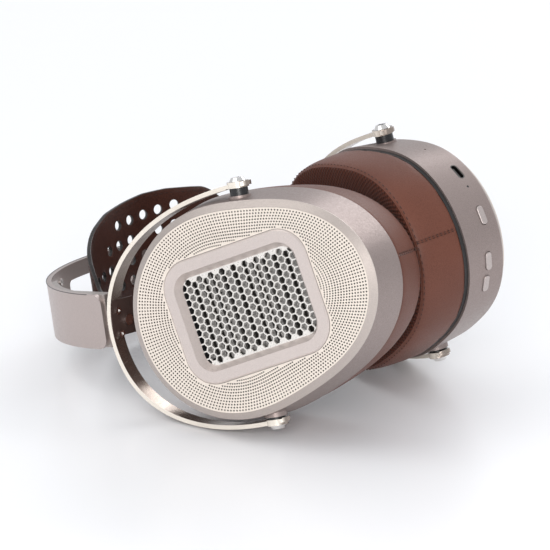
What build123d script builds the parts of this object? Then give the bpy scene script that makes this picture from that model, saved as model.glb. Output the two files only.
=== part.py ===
"""Wireless over-ear headphones with open-backed planar drivers, lying on their side on a table.

Every piece is a separate solid in its own node, in millimetres, with +Z up and the table at Z = 0.
The chin ends of the cups point to +X, the headband lies towards -X, the right cup is on the -Y side
and the left cup, which carries the controls, is on the +Y side.
"""

import os
from math import atan2, cos, degrees, hypot, pi, radians, sin

from build123d import *

os.makedirs("parts", exist_ok=True)

# ---- Where the assembly stands -------------------------------------------------------------
pivot_centre = Vector(48.6, 0.0, 62.34)  # midway between the cups' pivot axes, before the left is set in
cup_droop = 15.7  # degrees by which the pivot frame droops towards the headband
band_droop = 10.7  # the same for the headband, which is lighter and hangs a little higher
pivot_half_gap = 55.4  # from the middle of the headphones to each cup's pivot axis
swivel_rest = 3.6  # degrees that each yoke is turned about its stem as it lies
cup_splay = 16.8  # degrees by which the cups' chin ends converge
yoke_splay = 10.5  # degrees by which the yokes' chin ends converge
# The left slider is pushed in a little further than the right one: (chinward, frontward).
set_in = {-1: (0.0, 0.0), 1: (-2.35, 1.9)}

# ---- Cup: distances in depth are measured from the grille's face, positive outwards ---------
cup_cant = 10.7  # degrees from the cup's short axis to its pivot axis
pivot_depth = -11.6
rim_depth = -2.4  # where the side wall meets the sloping front rim
rear_depth = -23.3
wall_flare = 2.6  # how much wider the side wall is at the rear
wall = 2.2
rim_width = 3.3
ledge_depth = -1.2  # the grille rests here
ledge_bottom = -3.0
ledge_reach = 6.5
# The cup is an egg: its radius is a mean plus cosine terms, widest at the chin end.
egg_terms = (55.8, 1.1, 7.3, 2.3, 0.3)
egg_points = 28

bezel_size, bezel_radius = (76.4, 58.6), 14.4
bezel_lip, bezel_lip_depth = 2.0, -3.2
bezel_top = 0.9
window_size, window_radius = (60.4, 42.0), 6.2
window_top_size, window_top_radius = (65.4, 47.0), 9.0
fit_gap = 0.1

mesh_size, mesh_radius = (72.0, 54.0), 11.0
mesh_bottom = -4.2
hex_pitch = 3.57
hex_opening = 2.98  # across flats
hex_columns, hex_rows = 20, 12

driver_size, driver_radius = (70.0, 52.0), 8.0
driver_window, driver_window_radius = (61.0, 43.0), 4.0
driver_bottom = -13.0
bar_count, bar_pitch, bar_width, bar_thick = 11, 5.5, 3.0, 2.0
front_bar_depth, rear_bar_depth = -7.5, -12.5
film_depth, film_thick = -9.2, 0.3

baffle_top = -21.3
screen_size, screen_radius, screen_thick = (66.0, 49.0), 13.0, 0.5
gasket_grow, gasket_opening, gasket_thick = 1.4, -18.0, 2.0
pad_grow, pad_opening = 0.8, -23.0
pad_thick, pad_shoulder = 23.0, 17.0  # at the middle of the cup
pad_wedge = 3.4  # degrees by which the pad's face leans: thicker at the rear of the ear
pad_edge = -6.0  # the face is this much smaller than the pad's side

# ---- Pivots ---------------------------------------------------------------------------------
boss_radius = 5.2
boss_reach = {1: 49.95, -1: 52.35}  # from the cup's middle: front boss, rear boss
bush_radius, bush_end = 4.25, 53.45
eyelet_radius, eyelet_inner, eyelet_outer = 5.0, 53.5, 56.3
pin_radius, running_gap = 1.65, 0.05
screw_head_radius, screw_head_base, screw_head_height = 4.0, 56.35, 1.8
screw_root = 44.5

# ---- Yoke -----------------------------------------------------------------------------------
yoke_reach, yoke_half = 82.2, 55.2  # outer face of the strip
yoke_fullness = 0.9  # below 1 the curve is fuller than an ellipse
yoke_cant = 8.8  # degrees from the pivot axis to the strip's short axis
yoke_thick, yoke_width = 2.0, 8.2
yoke_points = 32
yoke_tail = 6.4  # the strip's ends run on this far past the pivots

# ---- Headband: positions are (chinward, sideways, frontward) in the headband's own frame ------
band_centre = -92.0
band_radius = 71.2  # outer face
band_thick = 2.4
band_width = 26.0
band_offset = -1.3  # the band's middle lies this far to the rear of the pivots
band_end = -86.2
band_corner = 5.0
slot_half_angle = 18.0
slot_height = 10.6
band_screw_angle, band_screw_spacing = 27.0, 15.0

stem_side, stem_thick, stem_width = 64.9, 1.4, 9.0
stem_start, stem_stop = -108.0, -81.6
barrel_side, barrel_radius = 63.9, 2.4
barrel_start, barrel_stop = -85.4, -81.6
liner_start, liner_radius = -139.0, 66.0  # the lining inside the arch
guide_start, guide_stop, guide_inner = -110.0, -85.6, 63.4
guide_width = 25.2
guide_gap = 0.1
bridge_stop = -77.2
bridge_depth = (-11.0, 4.1)  # across the yoke's strip
bridge_length = 17.0
bridge_screw_spacing, bridge_screw_side = 11.0, 69.5
swivel_pin_radius, swivel_head_radius = 1.5, 2.6
swivel_collar_radius, swivel_collar_length = 2.0, 0.9
small_screw_radius, small_head_radius, small_head_height = 0.9, 1.7, 0.8

strap_radius, strap_centre, strap_thick = 60.5, -76.5, 2.4
strap_sweep = 80.0  # degrees either side of the crown
strap_half_widths = ((0, 30), (13.4, 30), (28, 28.5), (39, 21), (49, 10.5), (61.5, 9.2))
strap_lean = (9.8, 0.148)  # how far the strap's middle has slipped to the front, and its slope
strap_tab = 61.5  # sideways distance at which it is back in line with the guides
clamp_start, clamp_stop, clamp_thick, clamp_width = -98.2, -88.6, 1.5, 17.0
clamp_screw_angle, clamp_screw_spacing = 73.8, 10.0
clamp_screw_reach = 5.2

# ---- Controls on the left cup: angle round the cup and depth on its wall ---------------------
usb_angle, usb_depth, usb_size = 22.5, -8.8, (9.4, 3.6)
led_angle, led_depth, led_radius = 14.3, -9.3, 0.6
mic_angle, mic_depth, mic_radius = 44.2, -10.3, 0.6
button_places = {"power": (1.6, -9.6), "volume_up": (-16.6, -11.6), "volume_down": (-26.6, -12.9)}
button_size, button_proud, button_root = (9.0, 3.4), 0.6, 4.5
button_gap = 0.25
usb_length, usb_wall, usb_tongue = 7.2, 0.5, (6.4, 0.7)
capsule_radius, capsule_thick = 2.0, 1.4
battery_size, battery_place, battery_thick = (12.0, 30.0), (45.0, 0.0), 7.0
board_size, board_depth, board_thick, post_radius = (14.0, 44.0), -10.6, 1.0, 1.6


def save(piece, name):
    """Label a finished piece and write its STEP file."""
    piece.part.label = name
    export_step(piece.part, f"parts/{name}.step")


def axes_at(droop, side=0, swivel=0.0, splay=0.0):
    """Chinward, frontward and outward directions of a frame on one side of the head."""
    chin = Vector(cos(radians(droop)), 0, sin(radians(droop)))
    front = Vector(-sin(radians(droop)), 0, cos(radians(droop)))
    front = front.rotate(Axis((0, 0, 0), chin), side * swivel)
    across = Vector(0, 1, 0).rotate(Axis((0, 0, 0), chin), side * swivel)
    chin = chin.rotate(Axis((0, 0, 0), front), -side * splay)
    across = across.rotate(Axis((0, 0, 0), front), -side * splay)
    return chin, front, across * (side or 1)


def pivot_middle(side):
    """The middle of one cup's pivot axis."""
    chin, front, _ = axes_at(cup_droop)
    return pivot_centre + Vector(0, side * pivot_half_gap, 0) + chin * set_in[side][0] + front * set_in[side][1]


def cup_plane(side):
    """The plane of a cup's grille: +x to the chin end, +z outwards."""
    chin, front, outward = axes_at(cup_droop, side, swivel_rest, cup_splay)
    long_axis = chin * cos(radians(cup_cant)) + front * sin(radians(cup_cant))
    origin = pivot_middle(side) - outward * pivot_depth
    return Plane(origin=origin, x_dir=long_axis, z_dir=outward)


def yoke_plane(side):
    """The plane of a yoke: +x away from the headband, +z outwards."""
    chin, _, outward = axes_at(cup_droop, side, swivel_rest, yoke_splay)
    return Plane(origin=pivot_middle(side), x_dir=chin, z_dir=outward)


def pivot_plane(side, end, distance):
    """A plane square to the pivot axis, at a distance towards its front (1) or rear (-1) end."""
    chin, front, _ = axes_at(cup_droop, side, swivel_rest, cup_splay)
    return Plane(origin=pivot_middle(side) + front * (end * distance), x_dir=chin, z_dir=front * end)


band_chin, band_front, _ = axes_at(band_droop)
tip_chin = -80.3  # both frames agree here, where the yokes meet the band
band_origin = pivot_centre + axes_at(cup_droop)[0] * tip_chin - band_chin * tip_chin


def band_plane(frontward=0.0):
    """The plane of the headband's arch: x chinward, y to the left cup, z frontward."""
    return Plane(origin=band_origin + band_front * frontward, x_dir=band_chin, z_dir=band_front)


def stem_plane(side, chinward, sideways):
    """A plane square to a stem: x frontward, z chinward."""
    origin = band_origin + band_chin * (chinward + set_in[side][0]) + Vector(0, side * sideways, 0)
    origin += band_front * (band_offset + set_in[side][1])
    return Plane(origin=origin, x_dir=band_front, z_dir=band_chin)


def egg(angle):
    """The cup's radius at an angle from its chin end."""
    return sum(term * cos(k * angle) for k, term in enumerate(egg_terms))


def egg_point(angle, grow=0.0):
    """A point of the cup's outline, moved outwards by grow."""
    step = 0.001
    ahead, behind = angle + step, angle - step
    tangent_x = egg(ahead) * cos(ahead) - egg(behind) * cos(behind)
    tangent_y = egg(ahead) * sin(ahead) - egg(behind) * sin(behind)
    length = hypot(tangent_x, tangent_y)
    x = egg(angle) * cos(angle) + grow * tangent_y / length
    y = egg(angle) * sin(angle) - grow * tangent_x / length
    return x, y


def egg_face(grow):
    """Fill the cup's outline, grown by an amount, in the sketch that is open."""
    angles = [2 * pi * i / egg_points for i in range(egg_points)]
    make_face(Edge.make_spline([Vector(*egg_point(a, grow)) for a in angles], periodic=True))


def rounded(size, radius, mode=Mode.ADD):
    """A rounded rectangle in the sketch that is open."""
    RectangleRounded(size[0], size[1], radius, mode=mode)


def wall_plane(side, angle, depth):
    """A plane on the outside of the cup's wall: x round the cup, z outwards."""
    face = cup_plane(side)
    turn = radians(angle)
    grow = wall_flare * (rim_depth - depth) / (rim_depth - rear_depth)
    x, y = egg_point(turn, grow)
    ahead_x, ahead_y = egg_point(turn + 0.001, grow)
    along = (face.x_dir * (ahead_x - x) - face.y_dir * side * (ahead_y - y)).normalized()
    origin = face.origin + face.x_dir * x - face.y_dir * (side * y) + face.z_dir * depth
    outward = along.cross(face.z_dir) * (-side)
    lean = degrees(atan2(wall_flare, rim_depth - rear_depth))
    outward = outward.rotate(Axis((0, 0, 0), along), side * lean)
    return Plane(origin=origin, x_dir=along, z_dir=outward)


def make_housing(name, side):
    """The cup's metal shell: a flared wall, a sloping rim and the ledge for the grille."""
    face = cup_plane(side)
    with BuildPart() as housing:
        with BuildSketch(face.offset(rear_depth)):
            egg_face(wall_flare)
        with BuildSketch(face.offset(rim_depth)):
            egg_face(0)
        loft(ruled=True)
        with BuildSketch(face.offset(rim_depth)):
            egg_face(0)
        with BuildSketch(face):
            egg_face(-rim_width)
        loft(ruled=True)
        for end in (1, -1):
            with BuildSketch(pivot_plane(side, end, boss_reach[end])):
                Circle(boss_radius)
            extrude(amount=-(boss_reach[end] - screw_root))
        with BuildSketch(face.offset(rear_depth)):
            egg_face(wall_flare - wall)
        with BuildSketch(face.offset(ledge_bottom)):
            egg_face(-wall)
        loft(ruled=True, mode=Mode.SUBTRACT)
        with BuildSketch(face.offset(ledge_bottom)):
            egg_face(-ledge_reach)
        extrude(amount=ledge_depth - ledge_bottom, mode=Mode.SUBTRACT)
        with BuildSketch(face.offset(ledge_depth)):
            egg_face(-rim_width)
        extrude(amount=-ledge_depth, mode=Mode.SUBTRACT)
        for end in (1, -1):
            with BuildSketch(pivot_plane(side, end, screw_root)):
                Circle(pin_radius)
            extrude(amount=wall * 5, mode=Mode.SUBTRACT)
        cuts = control_cuts(side) if side == 1 else ()
        for plane, length, width in cuts:
            with BuildSketch(plane.offset(1)):
                if length > width:
                    SlotOverall(length, width)
                else:
                    Circle(width / 2)
            extrude(amount=-wall - 2.5, mode=Mode.SUBTRACT)
    save(housing, name)


def control_cuts(side):
    """Where the left cup's wall is open for its socket, lamp, microphone and buttons."""
    cuts = [(wall_plane(side, usb_angle, usb_depth), *usb_size)]
    cuts.append((wall_plane(side, led_angle, led_depth), 0, 2 * led_radius))
    cuts.append((wall_plane(side, mic_angle, mic_depth), 0, 2 * mic_radius))
    for angle, depth in button_places.values():
        size = (button_size[0] + 2 * button_gap, button_size[1] + 2 * button_gap)
        cuts.append((wall_plane(side, angle, depth), *size))
    return cuts


def make_grille(name, side):
    """The perforated face plate between the rim and the bezel."""
    with BuildPart() as grille:
        with BuildSketch(cup_plane(side).offset(ledge_depth)):
            egg_face(-rim_width - fit_gap)
            rounded((bezel_size[0] + 2 * fit_gap, bezel_size[1] + 2 * fit_gap), bezel_radius, Mode.SUBTRACT)
        extrude(amount=-ledge_depth)
    save(grille, name)


def make_bezel(name, side):
    """The rounded frame round the window, with a lip behind the grille and a sloping inner edge."""
    face = cup_plane(side)
    with BuildPart() as bezel:
        with BuildSketch(face.offset(ledge_depth)):
            rounded(bezel_size, bezel_radius)
        extrude(amount=bezel_top - ledge_depth)
        outer_edges = bezel.faces().sort_by(Axis(face.origin, face.z_dir))[-1].edges()
        chamfer(outer_edges, length=0.7)
        with BuildSketch(face.offset(bezel_lip_depth)):
            rounded((bezel_size[0] + 2 * bezel_lip, bezel_size[1] + 2 * bezel_lip), bezel_radius + bezel_lip)
        extrude(amount=ledge_depth - bezel_lip_depth)
        with BuildSketch(face.offset(bezel_lip_depth)):
            rounded(window_size, window_radius)
        with BuildSketch(face.offset(bezel_top)):
            rounded(window_top_size, window_top_radius)
        loft(mode=Mode.SUBTRACT)
    save(bezel, name)


def make_honeycomb(name, side):
    """The hexagonal mesh in the window, with one row direction along the cup's short side."""
    column_pitch = hex_pitch * cos(radians(30))
    places = []
    for column in range(hex_columns):
        x = (column - (hex_columns - 1) / 2) * column_pitch
        for row in range(hex_rows + 1):
            y = (row - hex_rows / 2 + (column % 2) / 2 - 0.25) * hex_pitch
            clear = hypot(max(abs(x) - 25, 0), max(abs(y) - 16, 0))
            if abs(x) < window_size[0] / 2 - 0.6 and abs(y) < window_size[1] / 2 - 0.6 and clear < 6.2:
                places.append((x, y))
    with BuildPart() as honeycomb:
        with BuildSketch(cup_plane(side).offset(mesh_bottom)):
            rounded(mesh_size, mesh_radius)
            with Locations(*places):
                RegularPolygon(hex_opening / 2, 6, major_radius=False, mode=Mode.SUBTRACT)
        extrude(amount=bezel_lip_depth - mesh_bottom)
    save(honeycomb, name)


def make_driver_frame(name, side):
    """The frame that holds the magnets and the diaphragm."""
    with BuildPart() as frame:
        with BuildSketch(cup_plane(side).offset(driver_bottom)):
            rounded(driver_size, driver_radius)
            rounded(driver_window, driver_window_radius, Mode.SUBTRACT)
        extrude(amount=mesh_bottom - driver_bottom)
    save(frame, name)


def make_magnets(name, side, depth):
    """A row of magnet bars across the driver's window."""
    with BuildPart() as magnets:
        with BuildSketch(cup_plane(side).offset(depth)):
            with GridLocations(bar_pitch, 0, bar_count - 2, 1):
                Rectangle(bar_width, driver_window[1])
            with GridLocations(bar_pitch * (bar_count - 1), 0, 2, 1):
                Rectangle(bar_width, driver_window[1] - 2 * driver_window_radius)
        extrude(amount=bar_thick)
    save(magnets, name)


def make_diaphragm(name, side):
    """The film between the two rows of magnets."""
    with BuildPart() as film:
        with BuildSketch(cup_plane(side).offset(film_depth)):
            rounded(driver_window, driver_window_radius)
        extrude(amount=film_thick)
    save(film, name)


def make_baffle(name, side):
    """The plate that closes the cup, with a collar that carries the driver."""
    face = cup_plane(side)
    with BuildPart() as baffle:
        with BuildSketch(face.offset(rear_depth)):
            egg_face(0)
        extrude(amount=baffle_top - rear_depth)
        with BuildSketch(face.offset(baffle_top)):
            rounded(driver_size, driver_radius)
        extrude(amount=driver_bottom - baffle_top)
        with BuildSketch(face.offset(rear_depth)):
            rounded(driver_window, driver_window_radius)
        extrude(amount=driver_bottom - rear_depth, mode=Mode.SUBTRACT)
    save(baffle, name)


def make_screen(name, side):
    """The thin cloth over the driver, on the ear's side."""
    with BuildPart() as screen:
        with BuildSketch(cup_plane(side).offset(rear_depth - screen_thick)):
            rounded(screen_size, screen_radius)
        extrude(amount=screen_thick)
    save(screen, name)


def make_gasket(name, side):
    """The dark mounting ring between the cup and its pad."""
    with BuildPart() as gasket:
        with BuildSketch(cup_plane(side).offset(rear_depth - gasket_thick)):
            egg_face(gasket_grow)
        extrude(amount=gasket_thick)
        with BuildSketch(cup_plane(side).offset(rear_depth - gasket_thick)):
            egg_face(gasket_opening)
        extrude(amount=gasket_thick, mode=Mode.SUBTRACT)
    save(gasket, name)


def make_pad(name, side):
    """The leather ear pad: a wedge-shaped ring with a bevelled shoulder."""
    face = cup_plane(side)
    base = face.offset(rear_depth - gasket_thick)
    shoulder = face.offset(rear_depth - gasket_thick - pad_shoulder).rotated((-side * pad_wedge, 0, 0))
    top = face.offset(rear_depth - gasket_thick - pad_thick).rotated((-side * pad_wedge, 0, 0))
    with BuildPart() as pad:
        with BuildSketch(base):
            egg_face(pad_grow)
        with BuildSketch(shoulder):
            egg_face(pad_grow)
        loft(ruled=True)
        with BuildSketch(shoulder):
            egg_face(pad_grow)
        with BuildSketch(top):
            egg_face(pad_edge)
        loft(ruled=True)
        with BuildSketch(base):
            egg_face(pad_opening)
        extrude(amount=-2 * pad_thick, mode=Mode.SUBTRACT)
    save(pad, name)


def make_bushes(name, side):
    """The two spacers between the cup's wall and the yoke's eyelets."""
    with BuildPart() as bushes:
        for end in (1, -1):
            with BuildSketch(pivot_plane(side, end, boss_reach[end])):
                Circle(bush_radius)
                Circle(pin_radius, mode=Mode.SUBTRACT)
            extrude(amount=bush_end - boss_reach[end])
    save(bushes, name)


def make_pivot_screws(name, side):
    """The two screws that the cup tilts on."""
    with BuildPart() as screws:
        for end in (1, -1):
            with BuildSketch(pivot_plane(side, end, screw_root)):
                Circle(pin_radius)
            extrude(amount=screw_head_base - screw_root)
            with BuildSketch(pivot_plane(side, end, screw_head_base)):
                Circle(screw_head_radius)
            with BuildSketch(pivot_plane(side, end, screw_head_base + screw_head_height)):
                Circle(screw_head_radius - 1.2)
            loft()
            with BuildSketch(pivot_plane(side, end, screw_head_base + screw_head_height)):
                Rectangle(4.2, 0.9)
                Rectangle(0.9, 4.2)
            extrude(amount=-0.9, mode=Mode.SUBTRACT)
    save(screws, name)


def yoke_point(turn, inset, hand):
    """A point of the yoke's curve, inset from the strip's outer face."""

    def bare(t):
        c, s = cos(t), sin(t)
        return (
            yoke_reach * (abs(c) ** yoke_fullness) * (1 if c > 0 else -1),
            yoke_half * (abs(s) ** yoke_fullness) * (1 if s > 0 else -1),
        )

    (x0, y0), (x1, y1), (x, y) = bare(turn - 0.01), bare(turn + 0.01), bare(turn)
    length = hypot(x1 - x0, y1 - y0)
    x -= inset * (y1 - y0) / length
    y += inset * (x1 - x0) / length
    cant = radians(yoke_cant)
    return Vector(x * cos(cant) - y * sin(cant), hand * (x * sin(cant) + y * cos(cant)))


def make_yoke(name, side):
    """The flat steel strip bent to a C, with an eyelet at each end and screw holes in its middle."""
    plane = yoke_plane(side)
    turns = [2 * pi * (i + 0.5) / yoke_points for i in range(yoke_points)]
    with BuildPart() as yoke:
        with BuildSketch(plane):
            make_face(Edge.make_spline([yoke_point(t, 0, -side) for t in turns], periodic=True))
            make_face(
                Edge.make_spline([yoke_point(t, yoke_thick, -side) for t in turns], periodic=True),
                mode=Mode.SUBTRACT,
            )
            with Locations((yoke_tail + yoke_reach, 0)):
                Rectangle(2 * yoke_reach, 3 * yoke_half, mode=Mode.SUBTRACT)
        extrude(amount=yoke_width / 2, both=True)
        corners = yoke.edges().filter_by(Axis(plane.origin, plane.y_dir), tolerance=12)
        corners = corners.filter_by(lambda e: e.length < 1.3 * yoke_thick)
        fillet(corners, radius=0.45 * yoke_width)
        for end in (1, -1):
            with BuildSketch(pivot_plane(side, end, eyelet_inner)):
                Circle(eyelet_radius)
            extrude(amount=eyelet_outer - eyelet_inner)
        for end in (1, -1):
            with BuildSketch(pivot_plane(side, end, screw_root)):
                Circle(pin_radius + running_gap)
            extrude(amount=3 * wall + yoke_width, mode=Mode.SUBTRACT)
            with BuildSketch(pivot_plane(side, end, eyelet_inner)):
                Circle(eyelet_radius + 1)
            extrude(amount=-2 * yoke_thick, mode=Mode.SUBTRACT)
            with BuildSketch(pivot_plane(side, end, eyelet_outer)):
                Circle(eyelet_radius + 1)
            extrude(amount=2 * yoke_thick, mode=Mode.SUBTRACT)
        for hole in bridge_screw_planes(side):
            with BuildSketch(hole):
                Circle(small_screw_radius)
            extrude(amount=-4.0, mode=Mode.SUBTRACT)
    save(yoke, name)


def bridge_screw_planes(side):
    """Planes on the bridge's face for its two screws: z chinward."""
    middle = stem_plane(side, bridge_stop, bridge_screw_side)
    return [middle.shift_origin(middle.from_local_coords((x, 0, 0)))
            for x in (-bridge_screw_spacing / 2, bridge_screw_spacing / 2)]


def make_bridge(name, side):
    """The block inside the yoke that turns on the swivel pin."""
    plane = yoke_plane(side)
    turns = [2 * pi * (i + 0.5) / yoke_points for i in range(yoke_points)]
    with BuildPart() as bridge:
        with BuildSketch(plane.offset(bridge_depth[0])):
            make_face(Edge.make_spline([yoke_point(t, yoke_thick, -side) for t in turns], periodic=True))
            with Locations((-yoke_reach, (band_offset + 1.0) * -side)):
                Rectangle(20, bridge_length, mode=Mode.INTERSECT)
        extrude(amount=bridge_depth[1] - bridge_depth[0])
        with BuildSketch(stem_plane(side, bridge_stop, barrel_side)):
            Rectangle(60, 60)
        extrude(amount=20, mode=Mode.SUBTRACT)
        with BuildSketch(stem_plane(side, bridge_stop + 1, barrel_side)):
            Circle(swivel_pin_radius + running_gap)
        extrude(amount=-12, mode=Mode.SUBTRACT)
        for hole in bridge_screw_planes(side):
            with BuildSketch(hole.offset(1)):
                Circle(small_screw_radius)
            extrude(amount=-12, mode=Mode.SUBTRACT)
    save(bridge, name)


def make_bridge_screws(name, side):
    """The two small screws that hold the bridge to the yoke's strip."""
    with BuildPart() as screws:
        for hole in bridge_screw_planes(side):
            with BuildSketch(hole):
                Circle(small_screw_radius)
            extrude(amount=-4.0)
            with BuildSketch(hole):
                Circle(small_head_radius)
            extrude(amount=small_head_height)
            with BuildSketch(hole.offset(small_head_height)):
                RegularPolygon(0.9, 6)
            extrude(amount=-0.5, mode=Mode.SUBTRACT)
    save(screws, name)


def make_stem(name, side):
    """The flat bar that slides in the band's guide, with the barrel that holds the swivel pin."""
    with BuildPart() as stem:
        with BuildSketch(stem_plane(side, stem_start, stem_side)):
            Rectangle(stem_width, stem_thick)
        extrude(amount=stem_stop - stem_start)
        with BuildSketch(stem_plane(side, barrel_start, barrel_side)):
            Circle(barrel_radius)
        extrude(amount=barrel_stop - barrel_start)
        with BuildSketch(stem_plane(side, barrel_start, barrel_side)):
            Circle(swivel_pin_radius)
        extrude(amount=barrel_stop - barrel_start, mode=Mode.SUBTRACT)
    save(stem, name)


def make_swivel_pin(name, side):
    """The headed pin that the yoke swivels on."""
    with BuildPart() as pin:
        with BuildSketch(stem_plane(side, barrel_start, barrel_side)):
            Circle(swivel_pin_radius)
        extrude(amount=bridge_stop + running_gap - barrel_start)
        with BuildSketch(stem_plane(side, bridge_stop + running_gap, barrel_side)):
            Circle(swivel_head_radius)
        extrude(amount=1.2)
        with BuildSketch(stem_plane(side, barrel_stop, barrel_side)):
            Circle(swivel_collar_radius)
        extrude(amount=swivel_collar_length)
    save(pin, name)


def make_band():
    """The metal arch, with rounded ends and a long slot over the crown."""
    with BuildPart() as band:
        with BuildSketch(band_plane(band_offset)):
            with Locations((band_centre, 0)):
                Circle(band_radius)
                Circle(band_radius - band_thick, mode=Mode.SUBTRACT)
            for side in (1, -1):
                with Locations((band_end + set_in[side][0] + band_radius, side * band_radius)):
                    Rectangle(2 * band_radius, 2 * band_radius, mode=Mode.SUBTRACT)
        extrude(amount=band_width / 2, both=True)
        corners = band.edges().filter_by(Axis((0, 0, 0), Vector(0, 1, 0)), tolerance=12)
        corners = corners.filter_by(lambda e: e.length < 1.3 * band_thick)
        fillet(corners, radius=band_corner)
        slot_length = 2 * (band_radius - band_thick) * sin(radians(slot_half_angle))
        with BuildSketch(crown_plane()):
            RectangleRounded(slot_length, slot_height, 2.5)
        extrude(amount=3 * band_thick, both=True, mode=Mode.SUBTRACT)
        for hole in band_screw_planes():
            with BuildSketch(hole):
                Circle(small_screw_radius)
            extrude(amount=-1.5, mode=Mode.SUBTRACT)
    save(band, "band")


def band_screw_planes():
    """Planes on the inside of the arch for its four small screws: z towards the head."""
    planes = []
    for turn in (radians(180 - band_screw_angle), radians(180 + band_screw_angle)):
        for frontward in (-band_screw_spacing / 2, band_screw_spacing / 2):
            face = band_plane(band_offset + frontward)
            outward = face.x_dir * cos(turn) + face.y_dir * sin(turn)
            origin = face.origin + face.x_dir * band_centre + outward * (band_radius - band_thick)
            planes.append(Plane(origin=origin, x_dir=face.z_dir, z_dir=outward * -1))
    return planes


def make_band_screws():
    """Four small screws beside the ends of the arch's slot."""
    with BuildPart() as screws:
        for hole in band_screw_planes():
            with BuildSketch(hole.offset(-1.5)):
                Circle(small_screw_radius)
            extrude(amount=1.5 + 2 * running_gap)
            with BuildSketch(hole.offset(running_gap)):
                Circle(small_head_radius)
            extrude(amount=small_head_height)
            with BuildSketch(hole.offset(running_gap + small_head_height)):
                RegularPolygon(0.9, 6)
            extrude(amount=-0.5, mode=Mode.SUBTRACT)
    save(screws, "band_screws")


def crown_plane():
    """A plane on the band's crown: x sideways, z away from the head."""
    origin = band_origin + band_chin * (band_centre - band_radius) + band_front * band_offset
    return Plane(origin=origin, x_dir=Vector(0, 1, 0), z_dir=band_chin * -1)


def strap_screw_planes(side):
    """Planes on the clamp's face for its two screws: z towards the head."""
    turn = side * radians(180 - clamp_screw_angle)
    reach = strap_radius - strap_thick / 2 - clamp_thick
    planes = []
    for frontward in (-clamp_screw_spacing / 2, clamp_screw_spacing / 2):
        face = band_plane(band_offset + frontward)
        outward = face.x_dir * cos(turn) + face.y_dir * sin(turn)
        origin = face.origin + face.x_dir * strap_centre + outward * reach
        planes.append(Plane(origin=origin, x_dir=face.z_dir, z_dir=outward * -1))
    return planes


def make_guide(name, side):
    """The lining of the arch's side, which thickens to a block for the stem and a pad for the strap."""
    stop = guide_stop + set_in[side][0]
    with BuildPart() as guide:
        with BuildSketch(band_plane(band_offset)):
            with Locations((band_centre, 0)):
                Circle(band_radius - band_thick)
                Circle(liner_radius, mode=Mode.SUBTRACT)
            with Locations(((liner_start + stop) / 2, side * band_radius)):
                Rectangle(stop - liner_start, 2 * band_radius - 2, mode=Mode.INTERSECT)
        extrude(amount=guide_width / 2, both=True)
        with BuildSketch(band_plane(band_offset)):
            with Locations((band_centre, 0)):
                Circle(band_radius - band_thick)
            with Locations(((guide_start + stop) / 2, side * (guide_inner + band_radius))):
                Rectangle(stop - guide_start, 2 * band_radius, mode=Mode.INTERSECT)
        extrude(amount=guide_width / 2, both=True)
        with BuildSketch(band_plane(band_offset)):
            with Locations(((clamp_start + clamp_stop) / 2, side * (guide_inner - 4.0))):
                Rectangle(clamp_stop - clamp_start, 10.0)
            with Locations((strap_centre, 0)):
                Circle(strap_radius + strap_thick / 2, mode=Mode.SUBTRACT)
        extrude(amount=clamp_width / 2, both=True)
        with BuildSketch(stem_plane(side, guide_start - 1, stem_side)):
            Rectangle(stem_width + 2 * guide_gap, stem_thick + 2 * guide_gap)
        extrude(amount=guide_stop - guide_start + 4, mode=Mode.SUBTRACT)
        for hole in strap_screw_planes(side):
            with BuildSketch(hole):
                Circle(small_screw_radius)
            extrude(amount=-clamp_screw_reach, mode=Mode.SUBTRACT)
    save(guide, name)


def make_clamp(name, side):
    """The plate that presses the strap's end against its guide."""
    inner = strap_radius - strap_thick / 2
    with BuildPart() as clamp:
        with BuildSketch(band_plane(band_offset)):
            with Locations((strap_centre, 0)):
                Circle(inner)
                Circle(inner - clamp_thick, mode=Mode.SUBTRACT)
            with Locations(((clamp_start + clamp_stop) / 2, side * band_radius)):
                Rectangle(clamp_stop - clamp_start, band_radius, mode=Mode.INTERSECT)
        extrude(amount=clamp_width / 2, both=True)
        for hole in strap_screw_planes(side):
            with BuildSketch(hole.offset(1)):
                Circle(small_screw_radius)
            extrude(amount=-clamp_thick - 2, mode=Mode.SUBTRACT)
    save(clamp, name)


def make_clamp_screws(name, side):
    """The two small screws through one clamp, the strap and the guide."""
    with BuildPart() as screws:
        for hole in strap_screw_planes(side):
            with BuildSketch(hole):
                Circle(small_screw_radius)
            extrude(amount=-clamp_screw_reach)
            with BuildSketch(hole.offset(running_gap)):
                Circle(small_head_radius)
            extrude(amount=small_head_height)
            with BuildSketch(hole):
                Circle(small_screw_radius)
            extrude(amount=2 * running_gap)
            with BuildSketch(hole.offset(running_gap + small_head_height)):
                RegularPolygon(0.9, 6)
            extrude(amount=-0.5, mode=Mode.SUBTRACT)
    save(screws, name)


def strap_edge(sign):
    """Points along the strap's front (1) or rear (-1) edge, as (sideways, frontward)."""
    slip, slope = strap_lean
    places = [(-e, half) for e, half in reversed(strap_half_widths[1:])] + list(strap_half_widths)
    points = []
    for e, half in places:
        fade = cos(pi / 2 * min(1, max(0, abs(e) - 30) / (strap_tab - 30))) ** 2
        points.append((e, band_offset + (slip + slope * e) * fade + sign * half))
    return points


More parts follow.
